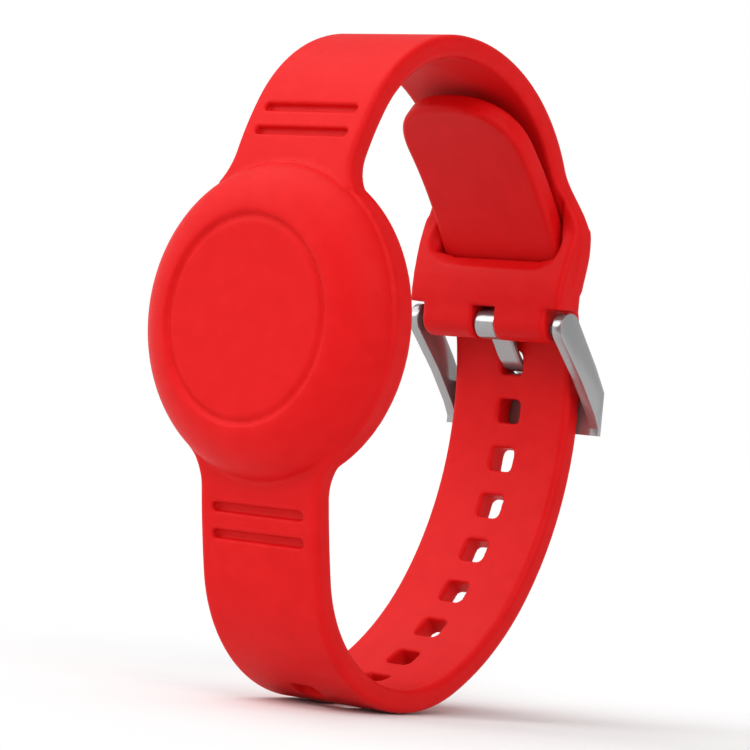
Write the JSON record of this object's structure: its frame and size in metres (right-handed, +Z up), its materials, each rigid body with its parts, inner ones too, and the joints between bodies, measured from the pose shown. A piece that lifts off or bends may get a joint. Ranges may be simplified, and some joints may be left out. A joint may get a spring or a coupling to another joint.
{
  "type": "bluetooth tracker wristband",
  "caption": "Red silicone wristband, closed by a steel pin buckle, with a round domed pod that holds a coin-shaped bluetooth tracker against the wrist.",
  "frame": {"origin": "centre of the wrist opening, midway across the strap", "axes": "+Z up along the band's longest side, +X across the strap along the spring bar, -Y is the side that the pod faces"},
  "size_m": [0.0412, 0.0599, 0.0879],
  "materials": {
    "silicone": "satin, moulded",
    "polished_steel": "polished",
    "white_plastic": "glossy",
    "pad_foam": "matte",
    "seal_rubber": "matte",
    "carrier_plastic": "matte",
    "copper": "enamelled wire",
    "magnet_nickel": "nickel plated",
    "board": "solder mask",
    "chip_resin": "moulded resin",
    "shield_tin": "tin plated",
    "ferrite": "matte",
    "ceramic_body": "matte",
    "gold_plate": "gold plated",
    "cell_nickel": "satin",
    "cathode_mix": "pressed powder",
    "separator_felt": "matte",
    "lithium": "matte"
  },
  "bodies": {
    "band": {"pod_case": "silicone", "upper_strap": "silicone", "lower_strap": "silicone", "spring_bar_tube": "polished_steel", "spring_bar_spring": "polished_steel"},
    "tail": {"strap_tail": "silicone"},
    "buckle": {"buckle_frame": "polished_steel"},
    "tongue": {"buckle_tongue": "polished_steel"},
    "left_tip": {"spring_bar_tip_left": "polished_steel"},
    "right_tip": {"spring_bar_tip_right": "polished_steel"},
    "tracker": {"front_shell": "white_plastic", "rear_ring": "white_plastic", "cover_seal": "seal_rubber", "antenna_carrier": "carrier_plastic", "nfc_coil": "copper", "magnet": "magnet_nickel", "pole_plate": "magnet_nickel", "magnet_cup": "magnet_nickel", "main_board": "board", "radio_chip": "chip_resin", "ranging_chip": "chip_resin", "ranging_shield": "shield_tin", "flash_memory": "chip_resin", "motion_sensor": "chip_resin", "sound_amplifier": "chip_resin", "crystals": "shield_tin", "inductors": "ferrite", "ceramic_capacitors": "ceramic_body", "storage_capacitors": "ceramic_body", "battery_tray": "carrier_plastic", "negative_contact": "gold_plate", "positive_contacts": "gold_plate", "cell_can": "cell_nickel", "cell_lid": "cell_nickel", "cell_gasket": "seal_rubber", "cell_cathode": "cathode_mix", "cell_separator": "separator_felt", "cell_anode": "lithium"},
    "speaker_coil": {"voice_coil": "copper"},
    "cover": {"battery_cover": "polished_steel", "cover_pad": "pad_foam"}
  },
  "joints": [
    {"name": "buckle_frame_pivot", "type": "hinge", "parent": "band", "child": "buckle", "pos_m": [0, 0.0188, 0.008], "axis": [1, 0, 0], "range_deg": [0, 2]},
    {"name": "tongue_pivot", "type": "hinge", "parent": "band", "child": "tongue", "pos_m": [0, 0.0188, 0.008], "axis": [1, 0, 0], "range_deg": [0, 2]},
    {"name": "left_tip_slide", "type": "slide", "parent": "band", "child": "left_tip", "axis": [1, 0, 0], "range_m": [0, 0.0011], "stiffness_N_per_m": 400, "springref_m": -0.002, "deforming": ["spring_bar_spring"]},
    {"name": "right_tip_slide", "type": "slide", "parent": "band", "child": "right_tip", "axis": [-1, 0, 0], "range_m": [0, 0.0011], "stiffness_N_per_m": 400, "springref_m": -0.002, "deforming": ["spring_bar_spring"]},
    {"name": "tracker_slide", "type": "slide", "parent": "band", "child": "tracker", "axis": [0, 1, 0], "range_m": [0, 0.012]},
    {"name": "cover_twist", "type": "hinge", "parent": "tracker", "child": "cover", "pos_m": [0, -0.0238, 0.0046], "axis": [0, 1, 0], "range_deg": [0, 27]},
    {"name": "speaker_coil_travel", "type": "slide", "parent": "tracker", "child": "speaker_coil", "axis": [0, 1, 0], "range_m": [-0.00015, 0.00015], "stiffness_N_per_m": 500},
    {"name": "tail_flex", "type": "hinge", "parent": "band", "child": "tail", "pos_m": [0, 0.01854, 0.01765], "axis": [1, 0, 0], "range_deg": [0, 15], "stiffness_Nm_per_rad": 0.005, "springref_deg": -2.86}
  ],
  "couplings": [
    {"joint": "tongue_pivot", "follows": "buckle_frame_pivot", "ratio": 1}
  ]
}
